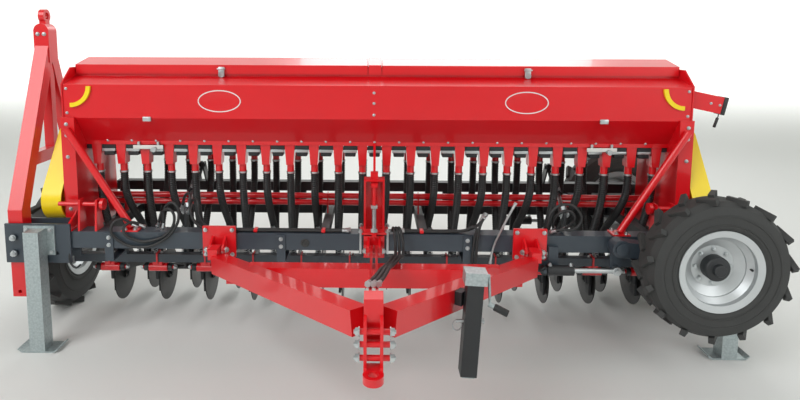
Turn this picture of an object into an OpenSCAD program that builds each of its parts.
// Towed seed drill, 24 rows at 150 mm, parked on its two front stands and its two working wheels.
// Lengths in mm. +X is the machine's right as seen from the front, +Y is backwards, +Z is up.
// Places are measured from the ground below the middle of the main beam, and seat() then moves
// everything so that the origin is the centre of the hitch eye.

/* [Rows] */
// Number of seed rows
rows = 24; // [12:4:24]
// Distance between rows
row_pitch = 150; // [140:1:160]

/* [Frame] */
// Side of the square main beam
beam_side = 100; // [90:1:105]
// Height of the main beam's centre above the ground
beam_z = 647; // [640:1:655]
// Right end of the main beam
beam_right = 2160; // [2155:1:2180]
// Thickness of plates and lugs
plate_t = 15; // [12:1:16]
// Distance back from the main beam to the rear beam
rear_y = 720; // [715:1:730]

/* [Hopper] */
// Half width of the hopper between its end cheeks
hop_half = 1855; // [1850:1:1860]
// Thickness of the hopper's sheet
sheet_t = 5; // [4:0.5:6]
// Height of the front panel's lower fold
panel_low_z = 1355; // [1350:1:1365]
// Height of the front panel's upper fold
panel_top_z = 1555; // [1550:1:1560]
// Height of the bottom flange
flange_z = 1190; // [1186:1:1192]
// Height of the filling rim
rim_z = 1640; // [1636:1:1644]
// Height of the lid's ridge
ridge_z = 1705; // [1700:1:1715]

/* [Wheels] */
// Radius of a working wheel over its lugs
work_r = 430; // [425:1:432]
// Radius of a transport wheel over its lugs
trans_r = 400; // [390:1:402]
// Width of every tyre
tyre_w = 200; // [190:1:205]
// Height of a lug
lug_h = 22; // [15:1:25]
// Number of lugs on each side of a tyre
lugs = 15; // [12:1:18]
// Distance of a working wheel's centre plane from the middle
work_x = 2115; // [2112:1:2120]
// Distance of the working wheels' axle behind the main beam
work_y = 550; // [545:1:552]
// Height of the transport wheels' axles as parked
trans_z = 610; // [605:1:620]
// Sideways place of the transport wheels' axles
trans_x = 1845; // [1835:1:1850]
// Distance from a beam's outer face to a transport wheel's centre plane
trans_out = 220; // [215:1:225]

/* [Drawbar] */
// Sideways place of each drawbar hinge
hinge_x = 905; // [900:1:910]
// Width of a drawbar arm
arm_w = 80; // [70:1:82]
// Height of a drawbar arm
arm_h = 100; // [90:1:102]
// Distance of the hitch eye in front of the main beam
eye_reach = 1440; // [1430:1:1460]
// Height of the hitch eye
eye_h = 640; // [630:1:645]
// Radius of the hitch eye's hole
eye_hole_r = 20; // [16:0.5:22]
// Radius of the drawbar's hinge pins
hinge_pin_r = 15; // [12:0.5:16]

/* [Jack] */
// Side of the jack's outer tube
jack_side = 70; // [66:1:72]
// Wall of the jack's outer tube
jack_wall = 5; // [4:0.5:6]
// Length of the jack's outer tube
jack_len = 410; // [400:1:430]
// Lean of the jack to the left
jack_lean = 3; // [0:0.5:4]

/* [Stands] */
// Side of a stand's square post
post_side = 88; // [80:1:90]
// Width of a stand's foot
foot_w = 240; // [220:1:250]

/* [Openers] */
// Diameter of an opener disc
disc_d = 350; // [340:1:355]
// Thickness of an opener disc
disc_t = 6; // [5:0.5:8]
// Height of the discs' edge above the ground
disc_lift = 50; // [45:1:60]
// Distance of the near discs behind the main beam
near_y = 500; // [495:1:505]
// Distance of the far discs behind the main beam
far_y = 690; // [685:1:695]
// Height of the openers' hinge line
hinge_z = 402; // [400:1:405]
// Distance of the openers' hinge line behind the main beam
hinge_y = 160; // [158:1:162]

/* [Clearances] */
// Radial clearance of a turning pin
pin_gap = 0.05; // [0.02:0.01:0.1]
// Clearance beside a part that turns between two plates
side_gap = 5; // [5:0.5:6]

/* [Hidden] */

red = [0.90, 0.07, 0.12];
dark_red = [0.62, 0.04, 0.08];
slate = [0.22, 0.26, 0.30];
black = [0.08, 0.08, 0.09];
yellow = [0.98, 0.85, 0.10];
zinc = [0.66, 0.70, 0.70];
rubber = [0.17, 0.17, 0.17];
steel = [0.72, 0.73, 0.73];

half = beam_side / 2;
beam_top = beam_z + half;
beam_low = beam_z - half;
row_x = [for (i = [0 : rows - 1]) (i - (rows - 1) / 2) * row_pitch];
// The two wings mirror each other: the outer row of each runs in the near rank.
near_rows = [for (i = [0 : rows - 1]) if ((i < rows / 2 ? i : rows - 1 - i) % 2 == 0) row_x[i]];
far_rows = [for (i = [0 : rows - 1]) if ((i < rows / 2 ? i : rows - 1 - i) % 2 == 1) row_x[i]];

// Moves a piece from the ground datum to the hitch eye.
module seat() {
    translate([0, eye_reach, -eye_h]) children();
}

// Rectangular bar between two points, w across and h upright.
module bar(p, q, w, h) {
    d = q - p;
    flat = norm([d[0], d[1]]);
    translate(p) rotate([0, -atan2(d[2], flat), atan2(d[1], d[0])])
        translate([0, -w / 2, -h / 2]) cube([norm(d), w, h]);
}

// Round bar between two points.
module rod(p, q, r) {
    d = q - p;
    flat = norm([d[0], d[1]]);
    translate(p) rotate([0, atan2(flat, d[2]), atan2(d[1], d[0])]) cylinder(r = r, h = norm(d), $fn = 32);
}

// Box given by its lowest and highest corners.
module box(low, high) {
    translate(low) cube(high - low);
}

// Cylinders along X and Y that start at the given point.
module along_x(p, r, h) { translate(p) rotate([0, 90, 0]) cylinder(r = r, h = h, $fn = 48); }
module along_y(p, r, h) { translate(p) rotate([-90, 0, 0]) cylinder(r = r, h = h, $fn = 48); }

// A (Y, Z) outline drawn out along X from x0 over a length.
module profile_x(points, x0, length) {
    translate([x0, 0, 0]) rotate([90, 0, 90]) linear_extrude(length) polygon(points);
}

// An (X, Z) outline drawn out along Y from y0 over a length.
module profile_y(points, y0, length) {
    translate([0, y0 + length, 0]) rotate([90, 0, 0]) linear_extrude(length) polygon(points);
}

// Folded end drawbar: hinge and pocket places.
fold_x = -2115;
fold_z = 570;
leg_w = 85;
leg_t = beam_side - 2 * side_gap;
tail = 280;
pocket_in = fold_x + tail + side_gap + 6;
fold_pin_r = 15;
pocket_low = 510;
pocket_top = 745;

module main_beam() {
    color(slate) seat() box([pocket_in, -half, beam_low], [beam_right, half, beam_top]);
}

// Front and back plates at the left end, between which the folded drawbar's foot turns.
module end_pocket() {
    color(slate) seat() {
        for (y = [-half - plate_t, half])
            difference() {
                box([-2170, y, pocket_low], [pocket_in + 40, y + plate_t, pocket_top]);
                along_y([fold_x + tail - 30, y - 1, fold_z], 11, plate_t + 2);
            }
        along_y([fold_x, -half - plate_t - 10, fold_z], fold_pin_r, beam_side + 2 * plate_t + 20);
        along_y([fold_x, -half - plate_t - 14, fold_z], 22, 14);
        along_y([fold_x, -half - plate_t - 14, fold_z + 95], 20, 14);
        along_y([fold_x, half + plate_t, fold_z + 95], 20, 14);
    }
}

// Rear beam with the black cross tube above it.
rear_side = 90;
cross_z = 772;
cross_side = 64;
frame_half = 1802;
module rear_beam() {
    cross_y = rear_y - 80;
    color(black) seat() {
        box([-frame_half, rear_y - rear_side / 2, beam_z - rear_side / 2],
            [frame_half, rear_y + rear_side / 2, beam_z + rear_side / 2]);
        box([-frame_half, cross_y, cross_z], [frame_half, cross_y + cross_side, cross_z + cross_side]);
        for (x = [-1500, -500, 500, 1500])
            box([x - 20, rear_y - 40, beam_z + rear_side / 2], [x + 20, cross_y + cross_side, cross_z]);
        // Lugs and pins that hold the lift cylinders.
        for (s = [-1, 1]) {
            x = s * crank_x;
            for (side = [-1, 1])
                profile_x([[cross_y, cross_z + cross_side], [cross_y + cross_side, cross_z + cross_side],
                    [lift_base[0] + 30, lift_base[1] + 20], [lift_base[0] - 22, lift_base[1] + 22],
                    [lift_base[0] - 30, lift_base[1] - 12]], x + side * 26 - 5, 10);
            along_x([x - 38, lift_base[0], lift_base[1]], 12, 76);
        }
    }
}

rail_x = [-1650, -300, 300, 1650];
rail_h = 60;
module side_rails() {
    color(black) seat() for (x = rail_x)
        box([x - 25, half, beam_z - rail_h / 2], [x + 25, rear_y - rear_side / 2, beam_z + rail_h / 2]);
}

// Square bar that carries the openers, on hanger plates from the main beam.
bar_side = 50;
bar_z = hinge_z + 65;
hang_x = [-1560, -545, 545, 1560];
hang_w = 50;
module opener_bar() {
    color(slate) seat() {
        box([-1870, hinge_y - bar_side / 2, bar_z - bar_side / 2],
            [1800, hinge_y + bar_side / 2, bar_z + bar_side / 2]);
        for (x = hang_x) {
            profile_x([[half, beam_low + 10], [half + 14, beam_top - 10], [half + 14, beam_low],
                [hinge_y + bar_side / 2, bar_z + bar_side / 2], [hinge_y - bar_side / 2, bar_z + bar_side / 2],
                [half, beam_low]], x - hang_w / 2, hang_w);
            box([x - hang_w / 2, -half - 8, beam_low - 75], [x + hang_w / 2, -half, beam_top - 8]);
            box([x - hang_w / 2, -half, beam_low - 75], [x + hang_w / 2, hinge_y - bar_side / 2, beam_low - 67]);
        }
    }
}

// Brackets below the bar, each holding the hinge tube of two neighbouring openers.
pair_x = [for (k = [0 : rows / 2 - 1]) (row_x[2 * k] + row_x[2 * k + 1]) / 2];
eye_w = 24;
hub_half = row_pitch / 2 - eye_w / 2 - 6;
hinge_r = 26;
bolt_r = 12;
module opener_brackets() {
    color(red) seat() for (x = pair_x) {
        difference() {
            along_x([x - hub_half, hinge_y, hinge_z], hinge_r, 2 * hub_half);
            along_x([x - hub_half - 1, hinge_y, hinge_z], bolt_r - 0.5, 2 * hub_half + 2);
        }
        along_x([x - row_pitch / 2 - 22, hinge_y, hinge_z], bolt_r, row_pitch + 44);
        box([x - 30, hinge_y - 25, hinge_z + 18], [x + 30, hinge_y + 25, bar_z - bar_side / 2]);
        for (y = [hinge_y - bar_side / 2 - 8, hinge_y + bar_side / 2])
            box([x - 5, y, bar_z - bar_side / 2 - 14], [x + 5, y + 8, bar_z + bar_side / 2 + 8]);
        box([x - 5, hinge_y - bar_side / 2 - 8, bar_z + bar_side / 2],
            [x + 5, hinge_y + bar_side / 2 + 8, bar_z + bar_side / 2 + 8]);
    }
}

// End frame of the hopper, drawn on the left: side plate, post, brace tube and its foot.
frame_x = 1790;
end_t = 12;
brace_r = 21;
module end_frame() {
    low = beam_z - 30;
    rail = flange_z - 15;
    slope_y = hop_front + (trough_y[0] - trough_w / 2 - 6 - hop_front) * 1.0;
    fold = (flange_z - panel_low_z) / (trough_y[0] - trough_w / 2 - hop_front);
    profile_x([[-half + 5, beam_top], [half - 1, beam_top], [half - 1, pocket_top + 1],
        [half + plate_t + 1, pocket_top + 1], [half + plate_t + 1, low], [rear_y - rear_side / 2, low],
        [rear_y - rear_side / 2, beam_z + rear_side / 2], [615, 760], [600, 1100], [646, rail],
        [slope_y, rail], [slope_y, panel_low_z + (slope_y - hop_front) * fold], [hop_front, panel_low_z],
        [66, panel_low_z], [66, 800], [-half + 5, 745]], -frame_x - end_t, end_t);
    box([-frame_x - end_t - 70, -half, beam_top], [-frame_x + 10, half - 1, beam_top + 12]);
    // Front post, an upright flat that carries the hopper and the brace tube.
    box([-frame_x - end_t - 70, 66, pocket_top + 1], [-frame_x, 74, panel_low_z + 5]);
    rod([-frame_x - 42, 52, 1290], [-1445, 0, beam_top + 12.5], brace_r);
    box([-1490, -half, beam_top], [-1390, half, beam_top + 8]);
}
module end_frame_left() { color(red) seat() end_frame(); }
module end_frame_right() { color(red) seat() mirror([1, 0, 0]) end_frame(); }

// Hopper: a folded sheet shell with a long trough below each compartment.
hop_front = 80;
hop_back = 760;
mid_y = (hop_front + hop_back) / 2;
collar_y = 165;
trough_w = 80;
trough_y = [240, 600];
saddle_z = 1360;
ledge_z = panel_top_z + 42;
outer_skin = [[hop_front, panel_low_z], [hop_front, panel_top_z], [mid_y - collar_y, ledge_z],
    [mid_y - collar_y, rim_z], [mid_y + collar_y, rim_z], [mid_y + collar_y, ledge_z],
    [hop_back, panel_top_z], [hop_back, panel_low_z], [trough_y[1] + trough_w / 2, flange_z],
    [trough_y[1] - trough_w / 2, flange_z], [mid_y, saddle_z - 8], [trough_y[0] + trough_w / 2, flange_z],
    [trough_y[0] - trough_w / 2, flange_z]];
inner_skin = [[hop_front + sheet_t, panel_low_z + 2], [hop_front + sheet_t, panel_top_z - 4],
    [mid_y - collar_y + sheet_t, ledge_z - 4], [mid_y - collar_y + sheet_t, rim_z + 1],
    [mid_y + collar_y - sheet_t, rim_z + 1], [mid_y + collar_y - sheet_t, ledge_z - 4],
    [hop_back - sheet_t, panel_top_z - 4], [hop_back - sheet_t, panel_low_z + 2],
    [trough_y[1] + trough_w / 2 - 3, flange_z + sheet_t], [trough_y[1] - trough_w / 2 + 3, flange_z + sheet_t],
    [mid_y, saddle_z + 4], [trough_y[0] + trough_w / 2 - 3, flange_z + sheet_t],
    [trough_y[0] - trough_w / 2 + 3, flange_z + sheet_t]];
cheek_t = 8;
ring_z = 1545;
ring_x = 1810;
strap_half = 40;
lid_low = rim_z + 2;
module hopper() {
    color(red) seat() {
        difference() {
            profile_x(outer_skin, -hop_half, 2 * hop_half);
            for (x = [-hop_half + sheet_t, sheet_t / 2])
                profile_x(inner_skin, x, hop_half - 1.5 * sheet_t);
        }
        // End cheeks, standing proud of the sheet.
        for (x = [-hop_half - cheek_t, hop_half])
            profile_x([[hop_front - 6, panel_low_z - 4], [hop_front - 6, panel_top_z + 4], [190, rim_z + 10],
                [650, rim_z + 10], [hop_back + 6, panel_top_z + 4], [hop_back + 6, panel_low_z - 4],
                [646, flange_z + 10], [194, flange_z + 10]], x, cheek_t);
        // Hinge ears and pins on the ledge behind the collar.
        for (x = lid_hinge_x) {
            for (side = [-1, 1])
                profile_x([[mid_y + collar_y + 1, ledge_z - 3], [mid_y + collar_y + 1, ledge_z + 6],
                    [mid_y + collar_y + 19, ledge_z + 6], [mid_y + collar_y + 21, hinge_lid_z + 7],
                    [hinge_lid_y + 7, hinge_lid_z + 7], [hinge_lid_y + 9, ledge_z - 12]],
                    x + side * 38 - 3, 6);
            along_x([x - 41, hinge_lid_y, hinge_lid_z], 5, 82);
        }
        // Bottom flange rails in front of and behind the outlets.
        for (y = [trough_y[0] - trough_w / 2 - 6, trough_y[1] + trough_w / 2])
            box([-hop_half, y, flange_z - 15], [hop_half, y + 6, flange_z + 22]);
        // Strap over the gap between the two lids.
        profile_x([[mid_y - 180, rim_z - 30], [mid_y - 176, lid_low + 26], [mid_y, ridge_z + 4],
            [mid_y + 176, lid_low + 26], [mid_y + 180, rim_z - 30], [mid_y + collar_y, rim_z - 30],
            [mid_y + collar_y, rim_z], [mid_y, rim_z], [mid_y - collar_y, rim_z],
            [mid_y - collar_y, rim_z - 30]], -strap_half, 2 * strap_half);
    }
}

// Quarter ring handles near both ends of the front panel.
module ring_handles() {
    color(yellow) seat() for (s = [-1, 1])
        translate([s * ring_x, hop_front - 14, ring_z]) rotate([90, 0, 0])
            rotate([0, 0, s < 0 ? -90 : 180]) rotate_extrude(angle = 90, $fn = 64)
                translate([100, -14]) square([25, 14]);
}

// One lid half: a shallow gable of thick sheet with a folded lip, hinged behind.
lid_gap = 5;
lid_lip = 180;
lid_t = 8;
hinge_lid_y = mid_y + lid_lip + 12;
hinge_lid_z = ledge_z + 9;
lid_hinge_x = [-1650, -950, -245, 245, 950, 1650];
module lid(x0, length) {
    profile_x([[mid_y - lid_lip, rim_z - 30], [mid_y - lid_lip, lid_low + 24], [mid_y, ridge_z],
        [mid_y + lid_lip, lid_low + 24], [mid_y + lid_lip, rim_z - 30], [mid_y + lid_lip - 5, rim_z - 30],
        [mid_y + lid_lip - 5, lid_low + 18], [mid_y, ridge_z - lid_t], [mid_y - lid_lip + 5, lid_low + 18],
        [mid_y - lid_lip + 5, rim_z - 30]], x0, length);
    for (x = lid_hinge_x)
        if (x > x0 && x < x0 + length)
            difference() {
                union() {
                    along_x([x - 30, hinge_lid_y, hinge_lid_z], 9, 60);
                    box([x - 30, mid_y + lid_lip - 2, rim_z - 28], [x + 30, hinge_lid_y, rim_z - 12]);
                }
                along_x([x - 31, hinge_lid_y, hinge_lid_z], 5 + pin_gap, 62);
            }
    for (y = [mid_y - lid_lip - 14])
        box([x0 + length / 2 - 22, y, rim_z - 26], [x0 + length / 2 + 22, mid_y - lid_lip, rim_z + 6]);
}
module lid_left() { color(red) seat() lid(-hop_half + lid_gap, hop_half - lid_gap - strap_half - lid_gap); }
module lid_right() { color(red) seat() lid(strap_half + lid_gap, hop_half - lid_gap - strap_half - lid_gap); }

// Metering units under both troughs: a black roller housing at each row boundary and its shaft.
unit_r = 42;
unit_z = flange_z - 42;
module meters() {
    color(black) seat() for (y = trough_y) {
        for (i = [0 : rows]) {
            x = (i - rows / 2) * row_pitch;
            intersection() {
                along_y([x, y - 38, unit_z], unit_r + 3, 76);
                box([max(x - unit_r, -frame_x + 4), y - 38, unit_z], [min(x + unit_r, frame_x - 4), y + 38, flange_z]);
            }
        }
        along_x([-frame_x, y, unit_z + 2], 11, 2 * frame_x);
    }
}

// Red funnels between the units, each a tapered hopper foot with a round spout.
funnel_z = 990;
spout_r = 22;
module funnels() {
    color(dark_red) seat() for (y = trough_y, x = row_x)
        difference() {
            union() {
                translate([x, y, 0]) profile_y([[-spout_r, funnel_z + 60], [-32, flange_z], [32, flange_z],
                    [spout_r, funnel_z + 60]], -38, 76);
                translate([x, y, funnel_z]) cylinder(r = spout_r, h = 70, $fn = 48);
            }
            along_x([x - 40, y, unit_z + 2], 11 + side_gap / 5, 80);
        }
}

// Opener geometry shared by the arms, the discs and the hoses.
disc_z = disc_lift + disc_d / 2;
hose_r = 24;
boot_r = 17;
boot_dy = 95;
boot_dx = -12;
boot_top = 470;
function boot_y(far) = (far ? far_y : near_y) - boot_dy;

// Corrugated hoses from each spout down to its opener's boot.
module drop_hoses() {
    color(black) seat() {
        for (x = near_rows) hose_run(x, boot_y(false));
        for (x = far_rows) hose_run(x, boot_y(true));
    }
}
module hose_run(x, y_low) {
    for (k = [0, 1]) {
        side = k == 0 ? -1 : 1;
        knee_y = trough_y[k];
        rod([x, knee_y, funnel_z - 0.3], [x, knee_y, 860], hose_r);
        translate([x, knee_y, 860]) sphere(r = hose_r + 1.5, $fn = 32);
        rod([x, knee_y, 860], [x + boot_dx, y_low + side * 28, boot_top + 16], hose_r);
    }
}

// Two round bars against which the openers' pressure springs bear.
press_y = 450;
module pressure_bars() {
    color(red) seat() {
        for (z = [745, 790]) along_x([-frame_x, press_y, z], 19, 2 * frame_x);
        for (x = rail_x) {
            box([x - 12, press_y - 24, beam_z + rail_h / 2], [x - 4, press_y + 24, 812]);
        }
    }
}

// Chain guard: a drop-shaped cover, drawn on the left.
guard_out = 2000;
guard_in = guard_out - 120;
guard_low = [160, 845, 128];
guard_high = [330, 1200, 60];
// Outline round two circles (Y, Z, radius), both shrunk by t.
module drop_outline(a, b, t) {
    d = [b[0] - a[0], b[1] - a[1]];
    lean = atan2(d[1], d[0]);
    beta = acos((a[2] - b[2]) / norm(d));
    translate([a[0], a[1]]) circle(r = a[2] - t, $fn = 96);
    translate([b[0], b[1]]) circle(r = b[2] - t, $fn = 64);
    polygon([for (c = [[a, -1], [b, -1], [b, 1], [a, 1]])
        [c[0][0], c[0][1]] + (c[0][2] - t) * [cos(lean + c[1] * beta), sin(lean + c[1] * beta)]]);
}
module guard() {
    difference() {
        translate([-guard_out, 0, 0]) rotate([90, 0, 90]) linear_extrude(guard_out - guard_in)
            drop_outline(guard_low, guard_high, 0);
        translate([-guard_out + 5, 0, 0]) rotate([90, 0, 90]) linear_extrude(guard_out - guard_in)
            drop_outline(guard_low, guard_high, 7);
    }
    box([-guard_in - 30, 150, 1085], [-frame_x - end_t, 200, 1095]);
    box([-guard_out + 5, 310, 1204], [-hop_half - cheek_t, 350, 1216]);
}
module guard_left() { color(yellow) seat() guard(); }
module guard_right() { color(yellow) seat() mirror([1, 0, 0]) guard(); }

// Bearing stands of the drive shafts on the beam, with the shaft and its knob.
module shaft_stands() {
    color(red) seat() for (s = [-1, 1]) {
        for (x = [1640, 1740]) {
            x0 = s * x;
            profile_x([[-45, beam_top], [45, beam_top], [25, 880], [-25, 880]], x0 - 6, 12);
        }
        along_x([s < 0 ? -1874 : 1600, 0, 850], 13, 274);
        along_x([s < 0 ? -1620 : 1600, 0, 850], 34, 20);
    }
}

// Parking stand, drawn at the middle: bolted plate, square post and turned-up foot.
post_y = -half - plate_t - 8 - post_side / 2;
module stand(x, back) {
    top = 737;
    box([x - 90, back - 10, 561], [x + 90, back, top]);
    box([x - post_side / 2, back - 10 - post_side, 8], [x + post_side / 2, back - 10, top - 12]);
    h = foot_w / 2;
    translate([x, 0, 0]) profile_y([[-h + 25, 0], [h - 25, 0], [h, 18], [h - 4, 25], [h - 27, 8], [-h + 27, 8],
        [-h + 4, 25], [-h, 18]], back - 10 - post_side, post_side + 35);
    for (sx = [-1, 1], z = [583, 715]) along_y([x + sx * 70, back - 18, z], 12, 8);
}
stand_x = 1962;
right_stand_x = 2050;
module stand_left() { color(zinc) seat() stand(-stand_x, -half - plate_t); }
module stand_right() { color(zinc) seat() stand(right_stand_x, -half); }

// Mast over the middle of the beam, with its spindle and stay.
module mast() {
    color(red) seat() {
        difference() {
            box([-85, -half - 13, beam_top], [85, half + 13, beam_top + 14]);
            for (x = [-86, 72], y = [-half - 14, half - 1])
                box([x, y, beam_top - 1], [x + 14, y + 15, beam_top + 15]);
        }
        difference() {
            box([-60, -half, beam_top + 14], [60, half - 20, 1022]);
            box([-48, -half - 1, beam_top + 30], [48, half - 34, 1010]);
        }
        box([-22, -20, 1022], [22, 10, 1060]);
        bar([0, 0, 1050], [0, trough_y[0] - trough_w / 2 - 14, flange_z - 8], 14, 24);
        rod([0, -half - 24, 985], [0, -half - 24, 700], 11);
        box([-20, -half - 40, 985], [20, -half + 20, 1005]);
        box([-14, -half - 40, 692], [14, -half - 10, 720]);
    }
}
module mast_ubolts() {
    color(zinc) seat() for (x = [-85, 73]) {
        for (y = [-half - 12, half]) box([x, y, beam_low - 16], [x + 12, y + 12, beam_top + 30]);
        box([x, -half - 12, beam_low - 12], [x + 12, half + 12, beam_low]);
    }
}

// Bolted plates that carry the drawbar's three hinges.
dh_y = -130;
dh_z = 625;
module hinge_lugs(x, gap) {
    for (s = [-1, 1])
        difference() {
            profile_x([[-half - plate_t, dh_z - 45], [-half - plate_t, dh_z + 60], [dh_y, dh_z + 28],
                [dh_y - 28, dh_z], [dh_y, dh_z - 28]], x + s * (gap / 2 + 6) - 6, 12);
            along_x([x - gap, dh_y, dh_z], hinge_pin_r - 0.5, 2 * gap);
        }
    along_x([x - gap / 2 - 20, dh_y, dh_z], hinge_pin_r, gap + 40);
}
module drawbar_plates() {
    color(red) seat() {
        for (s = [-1, 1]) {
            box([s * hinge_x - 97, -half - plate_t, 557], [s * hinge_x + 97, -half, 741]);
            hinge_lugs(s * hinge_x, 62);
        }
        box([-60, -half - plate_t, 560], [60, -half, beam_low + 93]);
        hinge_lugs(0, 52);
    }
    color(steel) seat() for (s = [-1, 1], sx = [-1, 1], z = [576, 722])
        along_y([s * hinge_x + sx * 78, -half - plate_t - 9, z], 12, 9);
}

// Short arm at the hopper's right end for a row marker.
module marker_arm() {
    color(red) seat() difference() {
        union() {
            bar([hop_half + cheek_t - 12, 150, 1487], [2075, 150, 1440], 70, 100);
            box([hop_half + cheek_t, 108, 1428], [hop_half + cheek_t + 12, 192, 1546]);
        }
        bar([hop_half + 40, 150, 1478], [2090, 150, 1434], 58, 88);
        box([hop_half - 80, 100, 1300], [hop_half + cheek_t, 200, 1600]);
    }
}

// Stub axles of the working wheels on plates from the rear beam.
axle_r = 25;
hub_r = 60;
module axle(s) {
    in_x = frame_half;
    box([min(s * in_x, s * (in_x + 18)), work_y - 60, work_r - 60],
        [max(s * in_x, s * (in_x + 18)), rear_y + rear_side / 2, beam_z + rear_side / 2]);
    x0 = s < 0 ? -work_x - 45 : in_x + 18;
    along_x([x0, work_y, work_r], axle_r, work_x + 45 - in_x - 18);
    along_x([s < 0 ? -in_x - 48 : in_x + 18, work_y, work_r], 38, 30);
}
module axle_left() { color(black) seat() axle(-1); }
module axle_right() { color(black) seat() axle(1); }

// Tyre about the Z axis: a crowned carcass with slanted lugs. The rim seat is its inner wall.
rim_seat = 203;
module tyre(r) {
    w = tyre_w / 2;
    base = r - lug_h;
    rotate_extrude($fn = 96)
        polygon([[rim_seat, -w * 0.72], [rim_seat + 45, -w * 0.97], [base - 60, -w], [base - 22, -w * 0.9],
            [base, -w * 0.55], [base + 2, 0], [base, w * 0.55], [base - 22, w * 0.9], [base - 60, w],
            [rim_seat + 45, w * 0.97], [rim_seat, w * 0.72]]);
    for (s = [-1, 1], i = [0 : lugs - 1])
        rotate([0, 0, (i + (s > 0 ? 0.5 : 0)) * 360 / lugs])
            translate([base - 14, 0, 0]) rotate([s * 38, 0, 0]) translate([0, -15, s > 0 ? 8 : -w * 1.12])
                cube([lug_h + 14 - 3, 30, w * 1.12 - 8]);
}

// Rim about the Z axis: well, dished disc set back, and a hub bored for the axle.
module rim(hub_len, hub_back, bore_r) {
    w = tyre_w / 2 * 0.72;
    difference() {
        union() {
            rotate_extrude($fn = 96)
                polygon([[rim_seat - 0.3, -w - 1], [rim_seat + 24, -w - 15], [rim_seat + 24, -w - 22], [rim_seat - 12, -w - 14],
                    [rim_seat - 12, -w + 14], [rim_seat - 40, -w + 40], [rim_seat - 40, w - 40],
                    [rim_seat - 12, w - 14], [rim_seat - 12, w + 14], [rim_seat + 24, w + 22], [rim_seat + 24, w + 15],
                    [rim_seat - 0.3, w + 1], [rim_seat - 0.3, w - 10], [rim_seat - 30, w - 42],
                    [rim_seat - 30, -w + 42], [rim_seat - 0.3, -w + 10]]);
            rotate_extrude($fn = 96)
                polygon([[bore_r, -14], [120, -14], [rim_seat - 38, 16], [rim_seat - 38, 24], [116, -4], [bore_r, -4]]);
            translate([0, 0, hub_back]) cylinder(r = hub_r, h = hub_len, $fn = 64);
        }
        translate([0, 0, hub_back - 1]) cylinder(r = bore_r, h = hub_len + 2, $fn = 64);
        for (i = [0 : 7]) rotate([0, 0, i * 45]) translate([95, 0, -20]) cylinder(r = 9, h = 40, $fn = 24);
    }
}

module work_wheel(s) { translate([s * work_x, work_y, work_r]) rotate([0, s * 90, 0]) children(); }
module tyre_left() { color(rubber) seat() work_wheel(-1) tyre(work_r); }
module rim_left() { color(steel) seat() work_wheel(-1) rim(90, -50, axle_r + pin_gap); }
module tyre_right() { color(rubber) seat() work_wheel(1) tyre(work_r); }
module rim_right() { color(steel) seat() work_wheel(1) rim(90, -50, axle_r + pin_gap); }

// Drawbar for towing from the left end, folded up against the machine.
bend_z = 820;
head_z = 1800;
head_y = 400;
module fold_foot() {
    foot = fold_z - tail;
    color(red) seat() difference() {
        box([fold_x - leg_w / 2, -leg_t / 2, foot], [fold_x + leg_w / 2, leg_t / 2, bend_z]);
        along_y([fold_x, -leg_t, fold_z], fold_pin_r + pin_gap, 2 * leg_t);
        along_y([fold_x, -leg_t, foot + 30], 11, 2 * leg_t);
    }
}
module transport_drawbar() {
    color(red) seat() {
        profile_x([[-leg_t / 2, bend_z], [leg_t / 2, bend_z], [head_y + 40, head_z],
            [head_y - 40, head_z]], fold_x - leg_w / 2, leg_w);
        profile_x([[head_y - 40, head_z], [head_y + 40, head_z], [2 * head_y - 70, 950], [2 * head_y - 150, 950]],
            fold_x - leg_w / 2 + 8, leg_w - 16);
        box([fold_x - 32, 118, 1050], [fold_x + 32, 640, 1125]);
        box([fold_x - 30, head_y - 25, 1125], [fold_x + 30, head_y + 25, head_z]);
        box([fold_x - 48, head_y - 50, head_z - 130], [fold_x + 48, head_y + 50, 1870]);
        along_y([fold_x, head_y - 50, 1868], 48, 100);
        box([fold_x - 20, head_y - 25, 1900], [fold_x + 20, head_y + 25, 1940]);
        difference() {
            along_x([fold_x - 18, head_y, 1965], 42, 36);
            along_x([fold_x - 19, head_y, 1965], 22, 38);
        }
    }
}

// Field drawbar: two arms, cross member, centre strut and the box at their tip.
tip_y = -1300;
tip_z = 785;
arm_root = [hinge_x - 22, dh_y - 62];
arm_tip = [52, tip_y];
arm_dir = (arm_tip - arm_root) / norm(arm_tip - arm_root);
arm_out = [-arm_dir[1], arm_dir[0]];
module drawbar_frame() {
    color(red) seat() {
        difference() {
            union() {
                for (s = [-1, 1]) {
                    bar([s * arm_root[0], arm_root[1], 566], [s * arm_tip[0], arm_tip[1], tip_z], arm_w, arm_h);
                    box([s * hinge_x - 26, dh_y - 90, dh_z - 30], [s * hinge_x + 26, dh_y, dh_z + 28]);
                    along_x([s * hinge_x - 26, dh_y, dh_z], 28, 52);
                }
                bar([-640, -500, 632], [640, -500, 632], arm_w, arm_h);
                for (x = [-13, 13]) {
                    bar([x, dh_y, dh_z + 8], [x, tip_y, 862], 12, 50);
                    along_x([x - 6, dh_y, dh_z], 30, 12);
                }
                box([-36, tip_y - 66, 732], [36, tip_y + 10, 900]);
            }
            for (x = [-hinge_x, 0, hinge_x]) along_x([x - 60, dh_y, dh_z], hinge_pin_r + pin_gap, 120);
        }
        for (s = [-1, 1]) {
            box([s * 780 - 22, -330, 505], [s * 780 + 22, -290, 560]);
        }
    }
}

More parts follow.
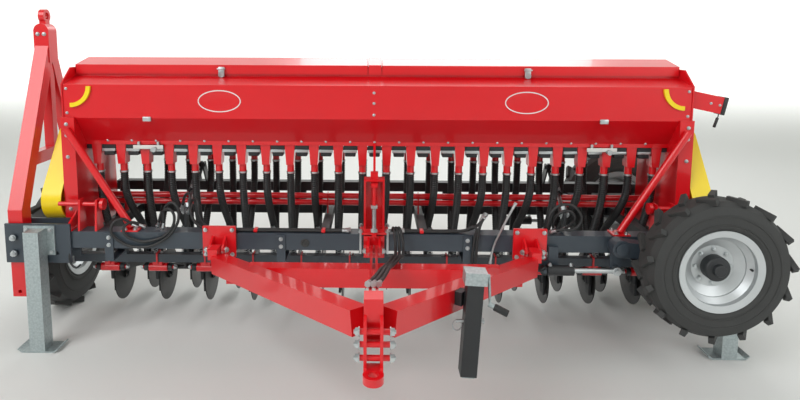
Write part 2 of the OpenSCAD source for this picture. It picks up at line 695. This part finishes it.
// Hitch head: two upright plates on the tip box, bolts, and the eye.
module hitch() {
    color(red) seat() {
        for (x = [-36, 24])
            profile_x([[tip_y - 66, 840], [tip_y - 112, 820], [tip_y - 112, eye_h + 22], [-eye_reach + 20, eye_h + 15],
                [-eye_reach + 20, eye_h - 15], [tip_y - 66, eye_h - 15]], x, 12);
        box([-24, tip_y - 112, eye_h - 15], [24, tip_y - 66, eye_h + 15]);
        difference() {
            translate([0, -eye_reach, eye_h - 15]) cylinder(r = 38, h = 30, $fn = 64);
            translate([0, -eye_reach, eye_h - 16]) cylinder(r = eye_hole_r, h = 32, $fn = 64);
        }
    }
    color(steel) seat() for (z = [690, 742, 790]) along_x([-50, tip_y - 92, z], 11, 110);
}

// Jack: black tube with a zinc head and a crank, and a leg that slides out below.
jack_off = 116;
jack_xy = arm_root + arm_dir * 920 + arm_out * jack_off;
jack_z = 866;
clamp_z = 731;
module jack_place() {
    translate([jack_xy[0], jack_xy[1], clamp_z]) rotate([0, jack_lean, 0]) translate([0, 0, jack_z - clamp_z])
        children();
}
module jack_tube() {
    s = jack_side / 2;
    color(black) seat() {
        jack_place() difference() {
            box([-s, -s, -jack_len - 54], [s, s, -54]);
            box([-s + jack_wall, -s + jack_wall, -jack_len - 55], [s - jack_wall, s - jack_wall, -70]);
        }
        // Bracket between the tube and the right arm's outer face.
        wall = s * (abs(arm_out[0]) + abs(arm_out[1])) - jack_wall - 1;
        translate([jack_xy[0], jack_xy[1], clamp_z]) rotate([0, 0, atan2(arm_out[1], arm_out[0])])
            translate([arm_w / 2 - jack_off, -25, -30]) cube([jack_off - arm_w / 2 - wall, 50, 60]);
    }
}
module jack_head() {
    s = jack_side / 2;
    color(zinc) seat() jack_place() {
        box([-s - 12, -s - 4, -54], [s + 12, s + 4, 0]);
        rod([s + 12, 0, -22], [s + 26, 0, -22], 8);
        rod([s + 22, 0, -16], [s + 40, 10, -150], 6);
        rod([s + 34, 10, -150], [s + 110, -20, -175], 12);
    }
}
leg_gap = 3;
module jack_leg() {
    s = jack_side / 2 - jack_wall - leg_gap;
    color(zinc) seat() jack_place() difference() {
        box([-s, -s, -jack_len - 62], [s, s, -90]);
        box([-s + 4, -s + 4, -jack_len - 52], [s - 4, s - 4, -89]);
    }
}

// Swing arm of a transport wheel with its crank, drawn for the front.
swing_x = 1400;
swing_z = 655;
swing_r = 25;
crank_z = 515;
rear_gap = 25;
rear_off = 110;
module swing_arm(reach, off) {
    y0 = -half - 105 - off;
    low = [swing_x, swing_z];
    high = [trans_x, trans_z];
    n = [low[1] - high[1], high[0] - low[0]] / norm(high - low) * 44;
    difference() {
        union() {
            translate([0, y0 + 80, 0]) rotate([90, 0, 0]) linear_extrude(80) {
                polygon([low + n, low - n, high - n, high + n]);
                translate(low) circle(r = 52, $fn = 48);
                translate(high) circle(r = 56, $fn = 48);
            }
            profile_y([[swing_x - 38, swing_z + 12], [swing_x + 38, swing_z + 12], [swing_x + 18, crank_z - 12],
                [swing_x + 2, crank_z - 28], [swing_x - 22, crank_z - 28], [swing_x - 38, crank_z - 12]], -half - 41, 15);
            along_y([swing_x, y0 + 40, swing_z], 44, 36 + off);
        }
        along_y([swing_x, y0 - 1, swing_z], swing_r + pin_gap, 100 + off);
    }
    along_y([trans_x, -half - reach - 45, trans_z], axle_r, reach + 45 - 100 - off);
}
module rear_side_of() { translate([0, rear_y + (rear_side - beam_side) / 2 + rear_gap - 25, 0]) mirror([0, 1, 0]) children(); }
module transport_arm_front() { color(slate) seat() swing_arm(trans_out, 0); }
module transport_arm_rear() { color(slate) seat() rear_side_of() swing_arm(rear_out, rear_off); }

// Shafts that the swing arms turn on, and brackets of their cylinders.
module swing_mounts() {
    color(slate) seat() {
        swing_mount(0);
        rear_side_of() swing_mount(rear_off);
    }
}
module swing_mount(off) {
    along_y([swing_x, -half - 113 - off, swing_z], swing_r, 113 + off);
    along_y([swing_x, -half - 115 - off, swing_z], 36, 5);
    profile_y([[base_x - 26, crank_z - 26], [base_x + 90, crank_z - 26], [base_x + 90, 640], [base_x + 34, 640],
        [base_x + 34, 560], [base_x - 26, crank_z + 30]], -half - 30, 12);
    box([base_x + 34, -half - 30, 600], [base_x + 90, -half, 640]);
    along_y([base_x, -half - 90, crank_z], 12, 70);
}

// Transport wheels, front and rear.
rear_out = 350;
front_plane = -half - trans_out;
module front_wheel() { translate([trans_x, front_plane, trans_z]) rotate([90, 0, 0]) children(); }
module rear_wheel() { rear_side_of() translate([trans_x, -half - rear_out, trans_z]) rotate([90, 0, 0]) children(); }
module tyre_front() { color(rubber) seat() front_wheel() tyre(trans_r); }
module rim_front() { color(steel) seat() front_wheel() rim(90, -50, axle_r + pin_gap); }
module tyre_rear() { color(rubber) seat() rear_wheel() tyre(trans_r); }
module rim_rear() { color(steel) seat() rear_wheel() rim(90, -50, axle_r + pin_gap); }

// Cylinders beside the beams that swing the transport wheels.
base_x = 976;
rod_eye_x = swing_x - 10;
cyl_y = -half - 65;
module swing_barrels() {
    color(black) seat() { swing_barrel(); rear_side_of() swing_barrel(); }
}
module swing_barrel() {
    difference() {
        union() {
            along_x([base_x + 18, cyl_y, crank_z], 30, 150);
            along_y([base_x, cyl_y - 18, crank_z], 25, 36);
        }
        along_x([base_x + 30, cyl_y, crank_z], 16, 150);
        along_y([base_x, cyl_y - 19, crank_z], 12 + pin_gap, 38);
    }
}
module swing_rods() {
    color(steel) seat() { swing_rod(); rear_side_of() swing_rod(); }
}
module swing_rod() {
    along_x([base_x + 130, cyl_y, crank_z], 15, rod_eye_x - base_x - 130 - 18);
    along_y([rod_eye_x, cyl_y - 16, crank_z], 25, 32);
    along_y([rod_eye_x, cyl_y - 28, crank_z], 14, 14);
}

// Opener arms on the hinge line, with boots, hubs, spring rods and the two lift cranks.
arm_t = 16;
crank_x = 1200;
crank_eye = [270, 730];
module opener(x, y_disc, y_rod) {
    yb = y_disc - boot_dy;
    a = [hinge_y, hinge_z];
    b = [y_disc - 20, disc_z + 38];
    n = [a[1] - b[1], b[0] - a[0]] / norm(b - a);
    difference() {
        union() {
            translate([x - arm_t / 2, 0, 0]) rotate([90, 0, 90]) linear_extrude(arm_t) {
                polygon([a + n * 20, a - n * 20, b - n * 25, b + n * 25]);
                translate([y_disc - 40, disc_z - 20]) square([60, 80]);
                translate([yb - 37, 150]) square([74, disc_z - 60]);
            }
            along_x([x - eye_w / 2, hinge_y, hinge_z], 24, eye_w);
        }
        along_x([x - 30, hinge_y, hinge_z], bolt_r + pin_gap, 60);
        along_x([x - 30, y_disc, disc_z], 14 + pin_gap, 60);
    }
    for (s = [-1, 1]) translate([x + boot_dx, yb + s * 28, disc_z + 10])
        cylinder(r = boot_r, h = boot_top - disc_z - 10, $fn = 32);
    rod([x, y_rod, disc_z + 112], [x, y_rod, 585], 7);
}
module opener_arms() {
    color(black) seat() {
        for (x = near_rows) opener(x, near_y, 300);
        for (x = far_rows) opener(x, far_y, 430);
    }
    color(red) seat() for (s = [-1, 1]) {
        profile_x([[206, 372], [252, 358], [crank_eye[0] + 24, crank_eye[1] - 6], [crank_eye[0] + 14, crank_eye[1] + 20],
            [crank_eye[0] - 14, crank_eye[1] + 20], [crank_eye[0] - 24, crank_eye[1] - 6]], s * crank_x - 8, 16);
        along_x([s * crank_x - row_pitch / 2, 230, 376], 14, row_pitch);
    }
}

// Opener discs of one rank on their hubs.
module disc_rank(xs, y) {
    for (x = xs) {
        along_x([x + arm_t / 2 + 5, y, disc_z], disc_d / 2, disc_t);
        along_x([x + arm_t / 2 + 5, y, disc_z], 34, 18);
        along_x([x - 12, y, disc_z], 14, 30);
    }
}
module discs_near() { color(steel) seat() disc_rank(near_rows, near_y); }
module discs_far() { color(steel) seat() disc_rank(far_rows, far_y); }

// Cylinders that lift the openers, from the rear cross tube to the cranks.
lift_base = [600, 960];
module lift_barrels() {
    d = crank_eye - lift_base;
    u = d / norm(d);
    color(black) seat() for (s = [-1, 1]) {
        x = s * crank_x;
        p = lift_base + u * 42;
        q = lift_base + u * 240;
        neck = lift_base + u * 20;
        difference() {
            union() {
                rod([x, p[0], p[1]], [x, q[0], q[1]], 26);
                rod([x, neck[0], neck[1]], [x, p[0] + u[0] * 4, p[1] + u[1] * 4], 14);
                along_x([x - 16, lift_base[0], lift_base[1]], 27, 32);
            }
            rod([x, lift_base[0] + u[0] * 60, lift_base[1] + u[1] * 60],
                [x, q[0] + u[0] * 5, q[1] + u[1] * 5], 13 + side_gap / 5);
            along_x([x - 17, lift_base[0], lift_base[1]], 12 + pin_gap, 34);
        }
    }
}
module lift_rods() {
    d = crank_eye - lift_base;
    u = d / norm(d);
    color(steel) seat() for (s = [-1, 1]) {
        x = s * crank_x;
        p = lift_base + u * 130;
        q = crank_eye - u * 52;
        rod([x, p[0], p[1]], [x, q[0], q[1]], 13);
        // Fork whose two cheeks stand beside the crank, with the pin's heads on them.
        profile_x([q + [-14, 18], q + [14, 10], q + [4, -14], q + [-22, -8]], x - 23, 46);
        for (side = [-1, 1]) {
            profile_x([q + [-14, 18], q + [14, 10], q + [4, -14], crank_eye + [16, -16], crank_eye + [-16, -16],
                crank_eye + [-20, 14]], x + side * 18 - 5, 10);
            along_x([x + side * 26 - 4, crank_eye[0], crank_eye[1]], 14, 8);
        }
    }
}

main_beam();
end_pocket();
rear_beam();
side_rails();
opener_bar();
opener_brackets();
end_frame_left();
end_frame_right();
hopper();
ring_handles();
lid_left();
lid_right();
meters();
funnels();
drop_hoses();
pressure_bars();
guard_left();
guard_right();
shaft_stands();
stand_left();
stand_right();
mast();
mast_ubolts();
drawbar_plates();
marker_arm();
axle_left();
axle_right();
tyre_left();
rim_left();
tyre_right();
rim_right();
fold_foot();
transport_drawbar();
drawbar_frame();
hitch();
jack_tube();
jack_head();
jack_leg();
transport_arm_front();
transport_arm_rear();
tyre_front();
rim_front();
tyre_rear();
rim_rear();
swing_mounts();
swing_barrels();
swing_rods();
opener_arms();
discs_near();
discs_far();
lift_barrels();
lift_rods();
